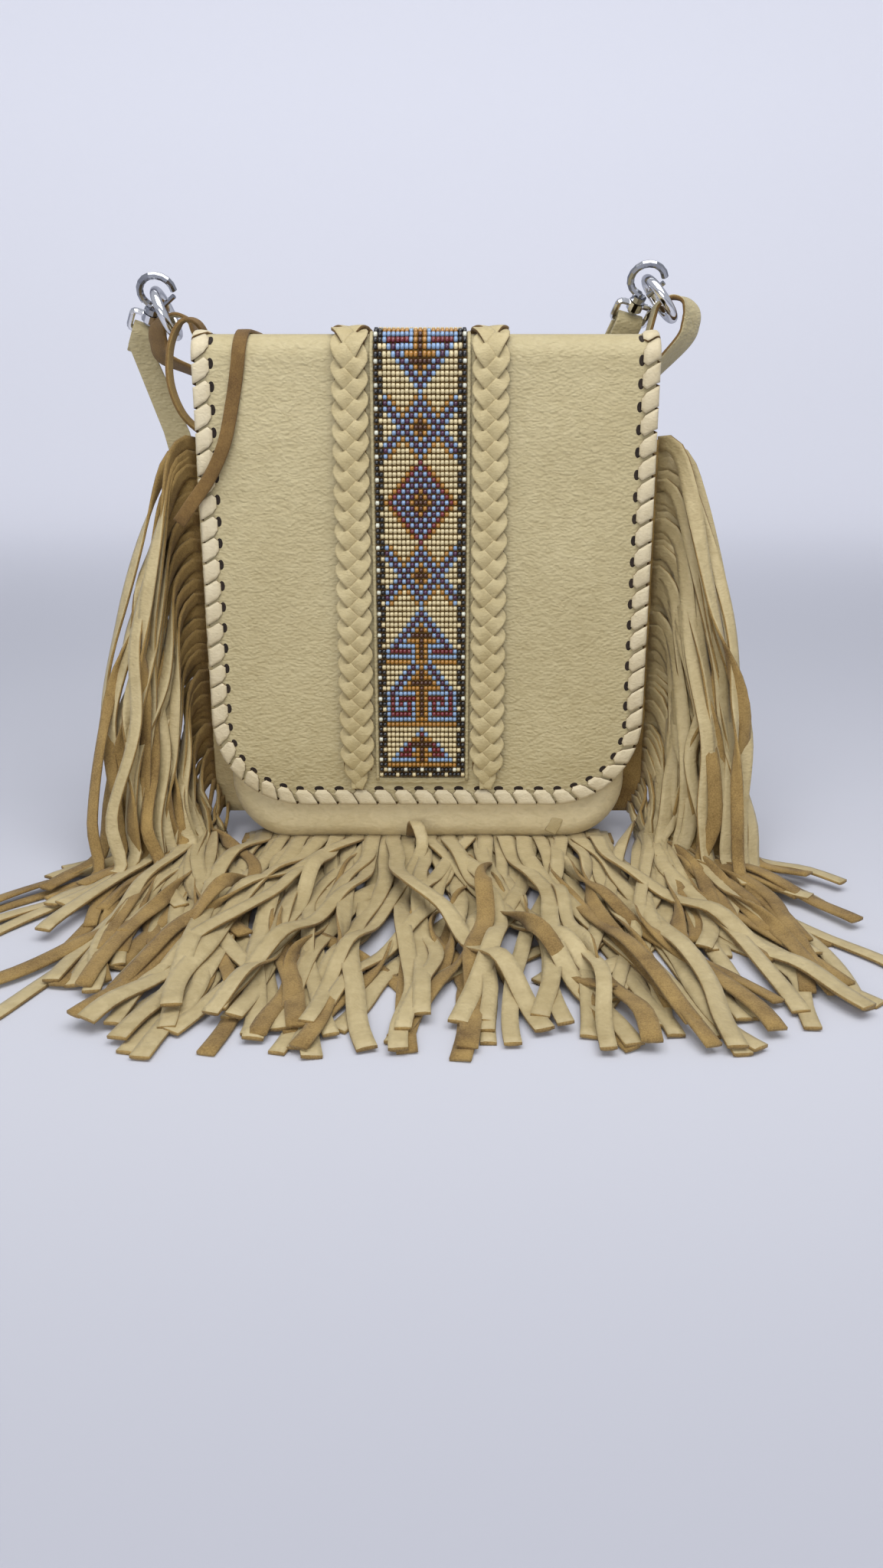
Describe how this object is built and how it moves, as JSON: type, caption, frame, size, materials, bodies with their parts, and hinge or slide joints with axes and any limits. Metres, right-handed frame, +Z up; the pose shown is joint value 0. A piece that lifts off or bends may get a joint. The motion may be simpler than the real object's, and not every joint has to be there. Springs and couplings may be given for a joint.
{
  "type": "beaded buckskin purse",
  "caption": "Pale buckskin flap purse with a loomed bead strip between braids, laced edges, long leather fringe and chrome rings with snap hooks.",
  "frame": {"origin": "middle of the pouch's flat base, on the surface it stands on", "axes": "+Z up out of the base, the flap and beads face -Y, +X to the right seen from the front"},
  "size_m": [0.3728, 0.3923, 0.2656],
  "materials": {
    "buckskin": "satin",
    "lace": "satin",
    "suede": "matte",
    "chrome": "polished",
    "beads": "gloss"
  },
  "bodies": {
    "bag": {"front_panel": "buckskin", "gusset": "buckskin", "back_panel": "buckskin", "snap_socket": "chrome", "fringe_left": "buckskin", "fringe_right": "buckskin", "fringe_lower": "buckskin", "fringe_upper": "buckskin", "ear_left": "buckskin", "ear_right": "buckskin", "strap": "buckskin", "strap_eye_left": "chrome", "strap_eye_right": "chrome", "ring_thong": "suede"},
    "flap": {"flap_panel": "buckskin", "flap_lacing": "lace", "braid_left": "lace", "braid_right": "lace", "bead_ground": "beads", "bead_border": "beads", "bead_arrow_top": "beads", "bead_lattice_upper": "beads", "bead_diamond": "beads", "bead_lattice_lower": "beads", "bead_arrow_middle": "beads", "bead_arrow_low": "beads", "bead_arrow_foot": "beads", "snap_stud": "chrome", "lace_tail": "lace", "flap_thong": "suede"},
    "ring_right": {"ring_right": "chrome"},
    "hook_right": {"hook_right": "chrome"},
    "gate_right": {"gate_right": "chrome"},
    "ring_left": {"ring_left": "chrome"},
    "hook_left": {"hook_left": "chrome"},
    "gate_left": {"gate_left": "chrome"}
  },
  "joints": [
    {"name": "flap_hinge", "type": "hinge", "parent": "bag", "child": "flap", "pos_m": [0, 0.0221, 0.2312], "axis": [-1, 0, 0], "range_deg": [0, 160]},
    {"name": "ring_right_swing", "type": "hinge", "parent": "bag", "child": "ring_right", "pos_m": [0.113, 0.02, 0.241], "axis": [0, 1, 0], "range_deg": [0, 5]},
    {"name": "hook_right_swivel", "type": "hinge", "parent": "bag", "child": "hook_right", "pos_m": [0.10086, 0.02007, 0.25751], "axis": [-0.2999, 0.5498, -0.7796], "range_deg": [-12, 12]},
    {"name": "gate_right_trigger", "type": "hinge", "parent": "hook_right", "child": "gate_right", "pos_m": [0.10195, 0.0248, 0.25081], "axis": [0, -0.8173, -0.5763], "range_deg": [0, 5.5], "stiffness_Nm_per_rad": 0.0006},
    {"name": "ring_left_swing", "type": "hinge", "parent": "bag", "child": "ring_left", "pos_m": [-0.116, 0.02, 0.2335], "axis": [0, 1, 0], "range_deg": [0, 5]},
    {"name": "hook_left_swivel", "type": "hinge", "parent": "bag", "child": "hook_left", "pos_m": [-0.12393, 0.02009, 0.25244], "axis": [-0.3994, 0.4993, -0.7689], "range_deg": [-12, 12]},
    {"name": "gate_left_trigger", "type": "hinge", "parent": "hook_left", "child": "gate_left", "pos_m": [-0.12371, 0.02459, 0.2455], "axis": [0, -0.8387, -0.5446], "range_deg": [0, 5.5], "stiffness_Nm_per_rad": 0.0006}
  ]
}
